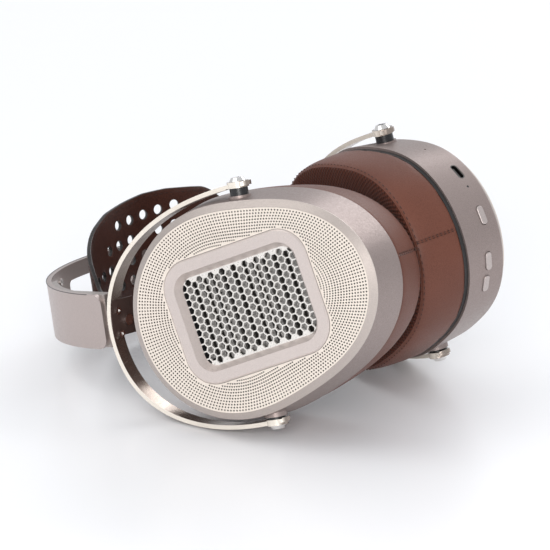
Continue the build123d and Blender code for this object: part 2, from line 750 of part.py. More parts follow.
def make_strap():
    """The leather strap that hangs inside the band, tapering to its ends."""
    inner = strap_radius - strap_thick / 2
    with BuildPart() as strap:
        with BuildSketch(band_plane()):
            with BuildLine():
                ends = []
                for radius in (inner, inner + strap_thick):
                    arc = CenterArc((strap_centre, 0), radius, 180 - strap_sweep, 2 * strap_sweep)
                    ends.append((arc @ 0, arc @ 1))
                Line(ends[0][0], ends[1][0])
                Line(ends[0][1], ends[1][1])
            make_face()
        extrude(amount=60, both=True)
        with BuildSketch(Plane(origin=band_origin, x_dir=Vector(0, 1, 0), z_dir=band_chin)):
            with BuildLine():
                front = Spline(*strap_edge(1))
                rear = Spline(*strap_edge(-1))
                Line(front @ 0, rear @ 0)
                Line(front @ 1, rear @ 1)
            make_face()
        extrude(amount=200, both=True, mode=Mode.INTERSECT)
        for side in (1, -1):
            for hole in strap_screw_planes(side):
                with BuildSketch(hole):
                    Circle(small_screw_radius)
                extrude(amount=-clamp_screw_reach, mode=Mode.SUBTRACT)
    save(strap, "strap")


def make_button(name, side, angle, depth):
    """A long button that is pressed into the cup's wall."""
    with BuildPart() as button:
        with BuildSketch(wall_plane(side, angle, depth).offset(-button_root)):
            SlotOverall(*button_size)
        extrude(amount=button_root + button_proud)
        outer = button.faces().sort_by(Axis(button.part.center(), wall_plane(side, angle, depth).z_dir))[-1]
        fillet(outer.edges(), radius=0.35)
    save(button, name)


def make_usb_socket(name, side):
    """The charging socket: a metal shell, its tongue and a closed back."""
    mouth = wall_plane(side, usb_angle, usb_depth).offset(-0.2)
    with BuildPart() as socket:
        with BuildSketch(mouth):
            SlotOverall(*usb_size)
        extrude(amount=-usb_length)
        with BuildSketch(mouth):
            SlotOverall(usb_size[0] - 2 * usb_wall, usb_size[1] - 2 * usb_wall)
        extrude(amount=usb_wall - usb_length, mode=Mode.SUBTRACT)
        with BuildSketch(mouth.offset(-usb_length)):
            Rectangle(*usb_tongue)
        extrude(amount=usb_length - 1.0)
    save(socket, name)


def make_lamp(name, side):
    """The clear rod that carries the lamp's light through the wall."""
    with BuildPart() as lamp:
        with BuildSketch(wall_plane(side, led_angle, led_depth).offset(-0.1)):
            Circle(led_radius)
        extrude(amount=-wall)
    save(lamp, name)


def make_microphone(name, side):
    """The microphone capsule behind its hole in the wall."""
    with BuildPart() as capsule:
        with BuildSketch(wall_plane(side, mic_angle, mic_depth).offset(-wall - 0.1)):
            Circle(capsule_radius)
        extrude(amount=-capsule_thick)
    save(capsule, name)


def make_battery(name, side):
    """The flat cell at the cup's chin end."""
    with BuildPart() as battery:
        with BuildSketch(cup_plane(side).offset(baffle_top)):
            with Locations(battery_place):
                RectangleRounded(*battery_size, 2.0)
        extrude(amount=battery_thick)
    save(battery, name)


def make_board(name, side):
    """The circuit board on its four posts."""
    face = cup_plane(side)
    with BuildPart() as board:
        with BuildSketch(face.offset(board_depth)):
            with Locations(battery_place):
                RectangleRounded(*board_size, 1.5)
        extrude(amount=board_thick)
        with BuildSketch(face.offset(baffle_top)):
            with Locations(battery_place):
                with GridLocations(board_size[0] - 2 * post_radius, board_size[1] - 2 * post_radius, 2, 2):
                    Circle(post_radius)
        extrude(amount=board_depth - baffle_top)
    save(board, name)


sides = {"right": -1, "left": 1}

for hand, side in sides.items():
    make_housing(f"{hand}_housing", side)
    make_grille(f"{hand}_grille", side)
    make_bezel(f"{hand}_bezel", side)
    make_honeycomb(f"{hand}_honeycomb", side)
    make_driver_frame(f"{hand}_driver_frame", side)
    make_magnets(f"{hand}_front_magnets", side, front_bar_depth)
    make_magnets(f"{hand}_rear_magnets", side, rear_bar_depth)
    make_diaphragm(f"{hand}_diaphragm", side)
    make_baffle(f"{hand}_baffle", side)
    make_screen(f"{hand}_dust_screen", side)
    make_gasket(f"{hand}_pad_ring", side)
    make_pad(f"{hand}_ear_pad", side)
    make_bushes(f"{hand}_pivot_bushes", side)
    make_pivot_screws(f"{hand}_pivot_screws", side)
    make_yoke(f"{hand}_yoke", side)
    make_bridge(f"{hand}_bridge", side)
    make_bridge_screws(f"{hand}_bridge_screws", side)
    make_stem(f"{hand}_stem", side)
    make_swivel_pin(f"{hand}_swivel_pin", side)
    make_guide(f"{hand}_guide", side)
    make_clamp(f"{hand}_strap_clamp", side)
    make_clamp_screws(f"{hand}_clamp_screws", side)
make_band()
make_band_screws()
make_strap()
for label, (angle, depth) in button_places.items():
    make_button(f"left_{label}_button", 1, angle, depth)
make_usb_socket("left_charging_socket", 1)
make_lamp("left_lamp", 1)
make_microphone("left_microphone", 1)
make_battery("left_battery", 1)
make_board("left_circuit_board", 1)
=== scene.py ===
from math import atan2, cos, exp, hypot, pi, radians, sin

import bpy
import numpy as np
from mathutils import Matrix, Vector
from mathutils.geometry import delaunay_2d_cdt


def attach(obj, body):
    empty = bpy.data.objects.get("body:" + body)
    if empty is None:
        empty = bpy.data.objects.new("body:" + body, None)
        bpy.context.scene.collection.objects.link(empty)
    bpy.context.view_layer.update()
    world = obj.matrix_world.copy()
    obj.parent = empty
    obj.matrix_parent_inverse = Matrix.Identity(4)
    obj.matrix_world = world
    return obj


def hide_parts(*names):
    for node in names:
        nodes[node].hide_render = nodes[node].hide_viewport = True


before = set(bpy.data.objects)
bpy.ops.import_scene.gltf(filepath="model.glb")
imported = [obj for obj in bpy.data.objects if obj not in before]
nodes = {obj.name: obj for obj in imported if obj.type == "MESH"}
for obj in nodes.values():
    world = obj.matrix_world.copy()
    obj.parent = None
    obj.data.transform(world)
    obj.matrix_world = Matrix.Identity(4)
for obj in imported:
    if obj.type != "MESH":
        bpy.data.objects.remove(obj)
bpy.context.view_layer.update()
MM = 0.001

# ---- the model's own frames, in millimetres ---------------------------------------------------
pivot_centre = Vector((48.6, 0.0, 62.34))  # midway between the cups' pivot axes, before the left is set in
cup_droop, band_droop = radians(15.7), radians(10.7)
pivot_half_gap, swivel_rest, cup_splay, cup_cant = 55.4, radians(3.6), radians(16.8), radians(10.7)
pivot_depth, rim_depth, rear_depth, rim_width = -11.6, -2.4, -23.3, 3.3
tip_chin = -80.3  # the cups' and the band's frames agree here, where the yokes meet the band
set_in = {-1: (0.0, 0.0), 1: (-2.35, 1.9)}  # each cup's own shift towards the chin and the front
egg_terms = (55.8, 1.1, 7.3, 2.3, 0.3)  # the cup's radius, as the terms of a cosine series
bezel_width, bezel_height, bezel_corner = 76.4, 58.6, 14.4
hands = {"right": -1, "left": 1}


def turned(vector, axis, angle):
    return Matrix.Rotation(angle, 3, axis) @ vector


def axes_at(droop):
    return Vector((cos(droop), 0, sin(droop))), Vector((-sin(droop), 0, cos(droop)))


def cup_matrix(side):
    """Cup coordinates (x to the chin end, y to the front, z outwards) to millimetres in the row frame."""
    chin, front = axes_at(cup_droop)
    to_chin, to_front = set_in[side]
    middle = pivot_centre + Vector((0, side * pivot_half_gap, 0)) + chin * to_chin + front * to_front
    across = turned(Vector((0, 1, 0)), chin, side * swivel_rest)
    front = turned(front, chin, side * swivel_rest)
    chin = turned(chin, front, -side * cup_splay)
    outward = turned(across, front, -side * cup_splay) * side
    long_axis = chin * cos(cup_cant) + front * sin(cup_cant)
    short_axis = front * cos(cup_cant) - chin * sin(cup_cant)
    matrix = Matrix((long_axis, short_axis, outward)).transposed().to_4x4()
    return Matrix.Translation(middle - outward * pivot_depth) @ matrix


band_chin, band_front = axes_at(band_droop)
band_origin = pivot_centre + axes_at(cup_droop)[0] * tip_chin - band_chin * tip_chin


def band_point(x, y, z):
    """A point of the headband from its distances to the chin, to the left and to the front."""
    return band_origin + band_chin * x + Vector((0, y, 0)) + band_front * z


def egg(angle):
    """The cup's radius at an angle from its chin end."""
    return sum(term * cos(k * angle) for k, term in enumerate(egg_terms))


def egg_point(angle, grow=0.0):
    """A point of the cup's outline, moved outwards by grow."""
    step = 0.001
    ahead, behind = angle + step, angle - step
    tx = egg(ahead) * cos(ahead) - egg(behind) * cos(behind)
    ty = egg(ahead) * sin(ahead) - egg(behind) * sin(behind)
    length = hypot(tx, ty)
    return egg(angle) * cos(angle) + grow * ty / length, egg(angle) * sin(angle) - grow * tx / length


def even_angles(count, grow=0.0):
    """Angles that divide the egg's outline into equal lengths."""
    fine = np.linspace(0, 2 * pi, 2881)
    points = np.array([egg_point(a, grow) for a in fine])
    length = np.concatenate([[0], np.cumsum(np.hypot(*np.diff(points, axis=0).T))])
    return np.interp(np.arange(count) * length[-1] / count, length, fine)


# ---- materials --------------------------------------------------------------------------------
class Shader:
    """A node material, built a node at a time."""

    def __init__(self, name, base=(0.5, 0.5, 0.5), metallic=0.0, rough=0.5):
        self.material = bpy.data.materials.new(name)
        self.material.use_nodes = True
        self.tree = self.material.node_tree
        self.surface = self.tree.nodes["Principled BSDF"]
        self.surface.inputs["Base Color"].default_value = (*base, 1)
        self.surface.inputs["Metallic"].default_value = metallic
        self.surface.inputs["Roughness"].default_value = rough
        self.place = self.node("ShaderNodeTexCoord")

    def node(self, kind, inputs=None, **settings):
        made = self.tree.nodes.new(kind)
        for key, value in settings.items():
            setattr(made, key, value)
        for key, value in (inputs or {}).items():
            self.put(made, key, value)
        return made

    def put(self, made, key, value):
        socket = made.inputs[key]
        if isinstance(value, bpy.types.NodeSocket):
            self.tree.links.new(value, socket)
        else:
            socket.default_value = value

    def noise(self, scale, detail=2.0, rough=0.5, where=None):
        inputs = {"Vector": where or self.place.outputs["Object"], "Scale": scale, "Detail": detail,
                  "Roughness": rough}
        return self.node("ShaderNodeTexNoise", inputs).outputs["Fac"]

    def cells(self, scale, feature="F1"):
        inputs = {"Vector": self.place.outputs["Object"], "Scale": scale}
        return self.node("ShaderNodeTexVoronoi", inputs, feature=feature).outputs["Distance"]

    def stretched(self, scale):
        """Object coordinates at a different scale along each axis."""
        inputs = {"Vector": self.place.outputs["Object"], "Scale": scale}
        return self.node("ShaderNodeMapping", inputs).outputs["Vector"]

    def facing(self, coordinate, direction):
        """The dot product of a coordinate output with a fixed direction."""
        inputs = {0: self.place.outputs[coordinate], 1: direction}
        return self.node("ShaderNodeVectorMath", inputs, operation="DOT_PRODUCT").outputs["Value"]

    def span(self, value, low, high, to_low=0.0, to_high=1.0):
        made = self.node("ShaderNodeMapRange", {"Value": value, "From Min": low, "From Max": high,
                                                "To Min": to_low, "To Max": to_high})
        return made.outputs["Result"]

    def mix(self, factor, first, second):
        made = self.node("ShaderNodeMix", data_type="RGBA")
        for slot, value in ((0, factor), (6, first), (7, second)):
            self.put(made, slot, (*value, 1) if isinstance(value, tuple) else value)
        return made.outputs[2]

    def calc(self, operation, first, second=0.0):
        return self.node("ShaderNodeMath", {0: first, 1: second}, operation=operation).outputs[0]

    def bump(self, height, strength, distance):
        before = self.surface.inputs["Normal"]
        inputs = {"Height": height, "Strength": strength, "Distance": distance}
        if before.is_linked:
            inputs["Normal"] = before.links[0].from_socket
        made = self.node("ShaderNodeBump", inputs)
        self.tree.links.new(made.outputs["Normal"], before)

    def paint(self, colour=None, rough=None, metallic=None):
        for key, value in (("Base Color", colour), ("Roughness", rough), ("Metallic", metallic)):
            if value is not None:
                self.put(self.surface, key, value)


def shade(colour, factor):
    return tuple(c * factor for c in colour)


def flake_metal(name, base, rough=0.42, fleck=0.16, metallic=0.65, rim=None):
    """Satin metal paint with a fine sparkle. rim is (outward, level, colour): lighter above that level."""
    s = Shader(name, base, metallic, rough)
    fine = s.noise(3800, 1.0)
    broad = s.noise(22, 3.0)
    colour = s.mix(s.span(fine, 0.35, 0.68), shade(base, 1 - fleck), shade(base, 1 + fleck))
    colour = s.mix(s.span(broad, 0.3, 0.7, 0.0, 0.25), colour, shade(base, 1.1))
    roughness = s.span(s.noise(900, 2.0), 0.3, 0.7, rough - 0.06, rough + 0.08)
    if rim:
        outward, level, light = rim
        mask = s.span(s.facing("Object", outward), level - 0.00015, level + 0.00015)
        pale = s.mix(s.span(fine, 0.35, 0.68), shade(light, 0.9), shade(light, 1.1))
        colour = s.mix(mask, colour, pale)
    s.paint(colour, roughness)
    s.bump(fine, 0.05, 0.00003)
    return s.material


def edge_highlit_metal(name, edge, face, outward, rough):
    """Polished strip: a painted highlight, pale where it faces outwards along the cup; browner on its broad
    faces.
    """
    s = Shader(name, face, 0.85, rough)
    # the pale colour on faces that point outwards along the cup is a painted highlight
    mask = s.span(s.calc("ABSOLUTE", s.facing("Normal", outward)), 0.55, 0.85)
    streak = s.noise(1.0, 3.0, 0.6, s.stretched((40, 40, 900)))
    cloud = s.noise(55, 3.0)
    tone = s.mix(s.span(cloud, 0.3, 0.7, 0, 0.5), face, shade(face, 0.72))
    s.paint(s.mix(mask, tone, edge), s.span(streak, 0.25, 0.75, rough * 0.8, rough * 1.25),
            s.span(mask, 0, 1, 0.9, 0.25))
    s.bump(streak, 0.02, 0.00002)
    return s.material


def plain_metal(name, base, rough, metallic=1.0):
    """Turned, drawn or plated metal: a faint directional grain and a little tarnish."""
    s = Shader(name, base, metallic, rough)
    streak = s.noise(1.0, 3.0, 0.6, s.stretched((60, 2500, 60)))
    cloud = s.noise(70, 3.0)
    s.paint(s.mix(s.span(cloud, 0.3, 0.75, 0, 0.35), base, shade(base, 0.78)),
            s.span(streak, 0.25, 0.75, rough * 0.75, rough * 1.35))
    s.bump(streak, 0.05, 0.00003)
    return s.material


def moulded(name, base, rough=0.55):
    """Moulded or rubbery material with a fine spark-eroded texture."""
    s = Shader(name, base, 0.0, rough)
    fine = s.noise(1500, 2.0)
    cloud = s.noise(45, 2.0)
    s.paint(s.mix(s.span(cloud, 0.3, 0.7), shade(base, 0.8), shade(base, 1.25)),
            s.span(fine, 0.3, 0.7, rough - 0.08, rough + 0.1))
    s.bump(fine, 0.25, 0.00005)
    return s.material


def hide(name, base, deep, rough, cell):
    """Grained leather: cells of two sizes, creases in the valleys, slow changes of tone."""
    s = Shader(name, base, 0.0, rough)
    small = s.cells(cell)
    large = s.cells(cell * 0.37, feature="DISTANCE_TO_EDGE")
    slow = s.noise(28, 4.0)
    pores = s.noise(2600, 2.0)
    colour = s.mix(s.span(small, 0.1, 0.75), base, deep)
    colour = s.mix(s.span(slow, 0.35, 0.7, 0.0, 0.4), colour, shade(base, 1.25))
    s.paint(colour, s.span(pores, 0.3, 0.7, rough - 0.07, rough + 0.12))
    s.bump(s.span(small, 0.0, 0.8, 1.0, 0.0), 0.22, 0.0001)
    s.bump(s.span(large, 0.0, 0.12), 0.10, 0.00012)
    s.bump(slow, 0.25, 0.0012)
    s.surface.inputs["Coat Weight"].default_value = 0.03
    s.surface.inputs["Coat Roughness"].default_value = 0.35
    s.surface.inputs["Specular IOR Level"].default_value = 0.32
    return s.material


def woven(name, base, deep):
    """The pad's face: leather pressed with a close basket weave, in UV lengths of millimetres, with painted
    shade in the weave's low parts.
    """
    s = Shader(name, base, 0.0, 0.7)
    s.surface.inputs["Specular IOR Level"].default_value = 0.15
    uv = s.place.outputs["UV"]
    split = s.node("ShaderNodeSeparateXYZ", {"Vector": uv})
    x, y = split.outputs["X"], split.outputs["Y"]
    pitch = 2 * pi / 2.6
    wave_x = s.calc("SINE", s.calc("MULTIPLY", x, pitch))
    wave_y = s.calc("SINE", s.calc("MULTIPLY", y, pitch))
    check = s.calc("MULTIPLY", wave_x, wave_y)
    strand = s.calc("ABSOLUTE", s.calc("SINE", s.calc("MULTIPLY", s.calc("ADD", x, y), pitch * 1.5)))
    height = s.calc("ADD", s.span(check, -1, 1), s.calc("MULTIPLY", strand, 0.35))
    fuzz = s.noise(1800, 2.0)
    # near black where the weave is low: painted shade in its hollows
    colour = s.mix(s.span(height, 0.15, 1.2), deep, base)
    colour = s.mix(s.span(fuzz, 0.3, 0.7, 0, 0.4), colour, shade(base, 1.4))
    s.paint(colour, s.span(fuzz, 0.3, 0.7, 0.52, 0.72))
    s.bump(height, 0.9, 0.0007)
    s.bump(fuzz, 0.2, 0.00005)
    return s.material


def thread(name, base):
    """Twisted sewing thread."""
    s = Shader(name, base, 0.0, 0.7)
    twist = s.noise(5200, 1.0)
    s.paint(s.mix(twist, shade(base, 0.6), shade(base, 1.3)))
    s.bump(twist, 0.4, 0.00005)
    return s.material


def cloth(name, base):
    """Matt open cloth."""
    s = Shader(name, base, 0.0, 0.9)
    weave = s.cells(2400)
    s.paint(s.mix(s.span(weave, 0.1, 0.7), base, shade(base, 0.35)), s.span(weave, 0, 1, 0.8, 1.0))
    s.bump(weave, 0.5, 0.0001)
    return s.material


def table_top(name):
    """The pale, faintly glossy table."""
    s = Shader(name, (0.93, 0.93, 0.95), 0.0, 0.32)
    cloud = s.noise(1.2, 2.0)
    fine = s.noise(420, 2.0)
    s.paint(s.mix(cloud, (0.92, 0.925, 0.945), (0.95, 0.952, 0.965)), s.span(fine, 0.3, 0.7, 0.28, 0.36))
    s.bump(fine, 0.02, 0.0001)
    return s.material


CHAMPAGNE, RIM = (0.31, 0.252, 0.236), (0.46, 0.405, 0.375)
# the first yoke colour is the painted highlight on the outward edges, the second the strip's own colour
YOKE_EDGE_HIGHLIGHT, YOKE_FACE = (0.78, 0.72, 0.64), (0.40, 0.335, 0.29)
rims, yokes = {}, {}
for hand, side in hands.items():
    cup = cup_matrix(side)
    outward = (cup.to_3x3() @ Vector((0, 0, 1))).normalized()
    level = outward.dot(cup @ Vector((0, 0, rim_depth - 0.3))) * MM
    rims[hand] = flake_metal(f"champagne {hand}", CHAMPAGNE, rim=(tuple(outward), level, RIM))
    yokes[hand] = edge_highlit_metal(f"yoke steel {hand}", YOKE_EDGE_HIGHLIGHT, YOKE_FACE, tuple(outward), 0.22)
finish = {
    "bezel": flake_metal("bezel metal", (0.60, 0.53, 0.50), 0.38, 0.10, 0.6),
    "grille": flake_metal("grille metal", (0.78, 0.70, 0.625), 0.42, 0.06, 0.5),
    "honeycomb": flake_metal("honeycomb metal", (0.80, 0.77, 0.73), 0.30, 0.05, 0.7),
    "driver_frame": moulded("driver plastic", (0.02, 0.02, 0.022)),
    # the magnets' plating is darkened as painted shade inside the driver; the rear magnets, deeper in, are
    # darker still
    "front_magnets": plain_metal("magnet plating", (0.30, 0.29, 0.28), 0.3, metallic=0.7),
    "rear_magnets": plain_metal("magnet plating rear", (0.10, 0.10, 0.10), 0.35, metallic=0.6),
    "diaphragm": plain_metal("film", (0.06, 0.055, 0.05), 0.4, metallic=0.5),
    "baffle": moulded("baffle plastic", (0.02, 0.02, 0.022), 0.6),
    "dust_screen": cloth("dust cloth", (0.03, 0.03, 0.032)),
    "pad_ring": moulded("gasket rubber", (0.018, 0.017, 0.017), 0.45),
    "pivot_bushes": moulded("bush plastic", (0.012, 0.012, 0.013), 0.3),
    "pivot_screws": plain_metal("screw chrome", (0.82, 0.80, 0.78), 0.14),
    "bridge": plain_metal("bridge metal", (0.075, 0.045, 0.038), 0.5, metallic=0.3),
    "bridge_screws": plain_metal("small screws", (0.75, 0.73, 0.71), 0.2),
    "stem": plain_metal("stem metal", (0.62, 0.59, 0.56), 0.3),
    "swivel_pin": plain_metal("pin chrome", (0.8, 0.78, 0.76), 0.16),
    "guide": flake_metal("guide metal", (0.40, 0.36, 0.34), 0.42, 0.10),
    "strap_clamp": flake_metal("clamp metal", (0.40, 0.36, 0.34), 0.4, 0.1),
    "clamp_screws": plain_metal("clamp screws", (0.75, 0.73, 0.71), 0.2),
    "charging_socket": plain_metal("socket shell", (0.16, 0.155, 0.15), 0.3),
    "lamp": moulded("lamp plastic", (0.03, 0.03, 0.032), 0.2),
    "microphone": plain_metal("capsule can", (0.1, 0.1, 0.1), 0.4),
    "battery": plain_metal("battery foil", (0.6, 0.6, 0.6), 0.3),
    "circuit_board": moulded("solder resist", (0.02, 0.10, 0.05), 0.3),
    "button": flake_metal("button metal", (0.50, 0.44, 0.42), 0.36, 0.12),
    "band": flake_metal("band metal", (0.45, 0.385, 0.365), 0.36, 0.07, 0.7),
}
finish["band_screws"] = finish["bridge_screws"]
pad_leather = hide("pad leather", (0.142, 0.049, 0.030), (0.108, 0.034, 0.020), 0.46, 2100)
# the second colour is painted shade for the hollows of the weave
pad_weave = woven("pad face", (0.105, 0.030, 0.017), (0.012, 0.003, 0.002))
pad_inner = cloth("pad lining", (0.05, 0.03, 0.025))
pad_thread = thread("pad thread", (0.040, 0.014, 0.009))
strap_face = hide("strap leather", (0.062, 0.019, 0.011), (0.026, 0.007, 0.004), 0.42, 1500)
strap_paint = moulded("strap edge paint", (0.012, 0.009, 0.008), 0.3)
strap_thread = thread("strap thread", (0.03, 0.012, 0.009))
back_cloth = cloth("grille backing", (0.022, 0.020, 0.019))

for name, obj in nodes.items():
    first, _, rest = name.partition("_")
    key = rest if first in hands else name
    if key == "housing":
        chosen = rims[first]
    elif key == "yoke":
        chosen = yokes[first]
    elif key.endswith("button"):
        chosen = finish["button"]
    else:
        chosen = finish.get(key)
    if chosen:
        for slot in obj.material_slots:
            slot.material = chosen


# ---- building helpers ---------------------------------------------------------------------------
def mesh_piece(name, points, faces, materials, body, matrix=None, face_slots=None, smooth=True):
    """A mesh that rides on a body, from points in millimetres in the frame of matrix."""
    if matrix is not None:
        points = [matrix @ Vector(p) for p in points]
    data = bpy.data.meshes.new(name)
    data.from_pydata([Vector(p) * MM for p in points], [], faces)
    for material in materials:
        data.materials.append(material)
    if face_slots is not None:
        data.polygons.foreach_set("material_index", face_slots)
    data.polygons.foreach_set("use_smooth", [smooth] * len(data.polygons))
    data.update()
    piece = bpy.data.objects.new(name, data)
    bpy.context.collection.objects.link(piece)
    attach(piece, body)
    return piece


def ring_faces(first, sides, rings):
    """The faces of a closed tube of rings of points, the first of which has the number first."""
    faces = []
    for start in range(first, first + (rings - 1) * sides, sides):
        for i in range(sides):
            a, b = start + i, start + (i + 1) % sides
            faces.append((a, b, b + sides, a + sides))
    faces.append(tuple(first + i for i in reversed(range(sides))))
    faces.append(tuple(first + (rings - 1) * sides + i for i in range(sides)))
    return faces


def path_lengths(points):
    """The length along a line of points up to each of them."""
    return np.concatenate([[0], np.cumsum(np.linalg.norm(np.diff(np.array(points), axis=0), axis=1))])


def sheet_with_holes(outline, holes, grid=()):
    """Triangles that fill an outline but not its holes, through the points of grid: (points, triangles)."""
    loops = [outline] + holes
    points, edges, owner = [], [], []
    for number, loop in enumerate(loops):
        first = len(points)
        points += [Vector((p[0], p[1])) for p in loop]
        owner += [number] * len(loop)
        edges += [(first + i, first + (i + 1) % len(loop)) for i in range(len(loop))]
    points += [Vector(p) for p in grid]
    owner += [-1] * len(grid)
    flat, _, triangles, origins, _, _ = delaunay_2d_cdt(points, edges, [], 0, 1e-6)
    who = [owner[o[0]] if o else -1 for o in origins]
    ring = np.array(outline)
    kept = []
    for triangle in triangles:
        loops_met = {who[i] for i in triangle}
        if len(loops_met) == 1:
            if max(loops_met) >= 1:
                continue
            centre = sum((np.array(flat[i]) for i in triangle), np.zeros(2)) / 3
            if not inside(centre, ring):
                continue
        kept.append(tuple(triangle))
    return [tuple(p) for p in flat], kept


def inside(point, ring):
    """Whether a closed ring of points goes round a point."""
    x, y = point
    ahead = np.roll(ring, -1, axis=0)
    crossing = (ring[:, 1] > y) != (ahead[:, 1] > y)
    with np.errstate(divide="ignore", invalid="ignore"):
        at = ring[:, 0] + (y - ring[:, 1]) * (ahead[:, 0] - ring[:, 0]) / (ahead[:, 1] - ring[:, 1])
    return bool(np.sum(crossing & (x < at)) % 2)


def hole(centre, radius, count, turn=0.0):
    """A regular polygon round a centre."""
    angles = [turn + 2 * pi * i / count for i in range(count)]
    return [(centre[0] + radius * cos(a), centre[1] + radius * sin(a)) for a in angles]


def rounded_loop(width, height, radius, steps=10):
    """A rounded rectangle, counter-clockwise."""
    loop = []
    for right, up, start in ((1, 1, 0), (-1, 1, 90), (-1, -1, 180), (1, -1, 270)):
        x, y = right * (width / 2 - radius), up * (height / 2 - radius)
        for i in range(steps + 1):
            a = radians(start + 90 * i / steps)
            loop.append((x + radius * cos(a), y + radius * sin(a)))
    return loop


def thicken(piece, thickness, offset=-1.0, rim=0):
    """Gives a sheet its thickness; rim is how many material slots its edge is moved on."""
    made = piece.modifiers.new("thickness", "SOLIDIFY")
    made.thickness = thickness * MM
    made.offset = offset
    made.material_offset_rim = rim


def add_stitches(name, pairs, radius, material, body, matrix=None, sides=6):
    """Short rounded threads between pairs of points."""
    points, faces = [], []
    swell = ((0.0, 0.35), (0.12, 0.85), (0.5, 1.0), (0.88, 0.85), (1.0, 0.35))  # place, share of radius
    for start, end in pairs:
        along = (end - start).normalized()
        across = along.orthogonal().normalized()
        third = along.cross(across)
        faces += ring_faces(len(points), sides, len(swell))
        for t, r in swell:
            middle = start.lerp(end, t)
            for i in range(sides):
                a = 2 * pi * i / sides
                points.append(middle + (across * cos(a) + third * sin(a)) * radius * r)
    mesh_piece(name, points, faces, [material], body, matrix)


# ---- grilles: a perforated sheet over dark cloth ---------------------------------------------
grille_thickness, backing_depth = 0.4, -1.1
hole_rows, hole_rays, first_row, row_pitch = 24, 212, 1.3, 1.42
hole_gap, hole_radius = 0.72, 0.43  # least distance between two holes of a row, greatest radius
hole_share = 0.37  # a hole's radius as a share of that distance
opening_width, opening_height, opening_corner = 72, 54.4, 12  # in the cloth, round the bezel's window


def around_bezel(margin, round_by):
    """A loop that stands a little off the bezel's outline."""
    return rounded_loop(bezel_width + margin, bezel_height + margin, bezel_corner + round_by)


def grille_holes(sides):
    """The punched holes: rows that follow the rim, on rays towards the cup's centre."""
    keep_out = np.array(around_bezel(1.9, 0.9))
    rim = [egg_point(a, -rim_width) for a in even_angles(hole_rays, -rim_width)]
    holes = []
    for row in range(hole_rows):
        last = None
        for number, (rim_x, rim_y) in enumerate(rim):
            share = 1 - (first_row + row_pitch * row) / hypot(rim_x, rim_y)
            x, y = rim_x * share, rim_y * share
            spacing = hypot(rim_x - rim[number - 1][0], rim_y - rim[number - 1][1]) * share
            if last and hypot(x - last[0], y - last[1]) < hole_gap:
                continue
            last = (x, y)
            if not inside((x, y), keep_out):
                size = min(hole_radius, hole_share * max(spacing, hole_gap))
                holes.append(hole((x, y), size, sides, atan2(y, x)))
    return holes


def add_grille(hand, side):
    """The perforated sheet in the place of the CAD grille, and the dark cloth behind it."""
    body, matrix = f"{hand}_cup", cup_matrix(side)
    outline = [egg_point(a, -rim_width - 0.1) for a in even_angles(320, -rim_width)]
    holes = grille_holes(8)
    points, faces = sheet_with_holes(outline, [around_bezel(0.4, 0.2)] + holes)
    flat = [(x, y, 0.0) for x, y in points]
    sheet = mesh_piece(f"{hand}_perforated_grille", flat, faces, [finish["grille"]], body, matrix,
                       smooth=False)
    thicken(sheet, grille_thickness)
    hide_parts(f"{hand}_grille")
    opening = rounded_loop(opening_width, opening_height, opening_corner)
    points, faces = sheet_with_holes(outline[::3], [opening])
    deep = [(x, y, backing_depth) for x, y in points]
    mesh_piece(f"{hand}_grille_backing", deep, faces, [back_cloth], body, matrix)


# ---- ear pads -----------------------------------------------------------------------------------
gasket_thick = 2.0
pad_base = rear_depth - gasket_thick
pad_thick, pad_taper = 23.05, 0.059  # at mid height, and the change per millimetre towards the front
chin_radius = 64  # of the pad's outline at its chin end, where the cross seam runs
groove_width, groove_depth = 0.45, 0.5
pad_thread_radius = 0.2
ring_stitches, ring_stitch_share, ring_stitch_depth = 118, 0.27, 0.915
cross_stitches, cross_first, cross_pitch, cross_half_length = 10, 2.2, 2.1, 0.55
cross_offset = 0.42  # from the cross seam to each of its two rows of stitches
LEATHER, WEAVE, LINING = 0, 1, 2

# The pad's section, from the base's outer edge over the face to the inside: how far each point is outside the
# cup's outline, and its depth as a share of the thickness and in millimetres added to that.
pad_profile = (
    (LEATHER, ((-0.4, 0, -0.1), (1.1, 0, -0.3), (1.6, 0, 0.45), (1.85, 0, 2.0), (1.9, 0.25, 0), (1.8, 0.5, 0),
               (1.5, 0.7, 0), (1.0, 0.83, 0), (0.5, 0.90, 0), (-0.05, 0.935, 0), (-0.6, 0.940, 0),
               (-0.7, 0.952, 0))),
    (WEAVE, ((-0.75, 0.972, 0), (-1.7, 0.992, 0), (-3.6, 1.002, 0), (-6.4, 1.003, 0), (-9.6, 0.996, 0),
             (-12.8, 0.975, 0), (-16.2, 0.935, 0), (-19.2, 0.85, 0), (-21.3, 0.73, 0))),
    (LINING, ((-22.5, 0.58, 0), (-22.9, 0.4, 0), (-22.9, 0.2, 0), (-22.6, 0, 0))),
)


def pad_thickness(angle):
    """The pad is thicker towards the rear."""
    return pad_thick - pad_taper * egg_point(angle, -10)[1]


def pad_line(angle):
    """The pad's section at an angle, with the cross seam's groove and the cover's small ripples."""
    thick = pad_thickness(angle)
    off = (angle + pi) % (2 * pi) - pi
    groove = exp(-((off * chin_radius / groove_width) ** 2))
    ripple = 0.16 * sin(23 * angle) + 0.12 * sin(41 * angle + 1.3) + 0.1 * sin(67 * angle + 0.4)
    line = []
    for part, rows in pad_profile:
        for out, share, extra in rows:
            deep = share * thick + extra
            level = deep / thick
            soft = max(0.0, 1 - abs(level - 0.94) / 0.14) * (0.35 if part == LEATHER else 0.8)
            soft += max(0.0, 1 - level / 0.14) * 0.5
            out += ripple * soft
            if part == LEATHER and deep > 0:
                out -= groove * groove_depth
            if part == WEAVE:
                deep += ripple * 0.6 * soft - groove * 0.4
            x, y = egg_point(angle, out)
            line.append((x, y, pad_base - deep))
    return line


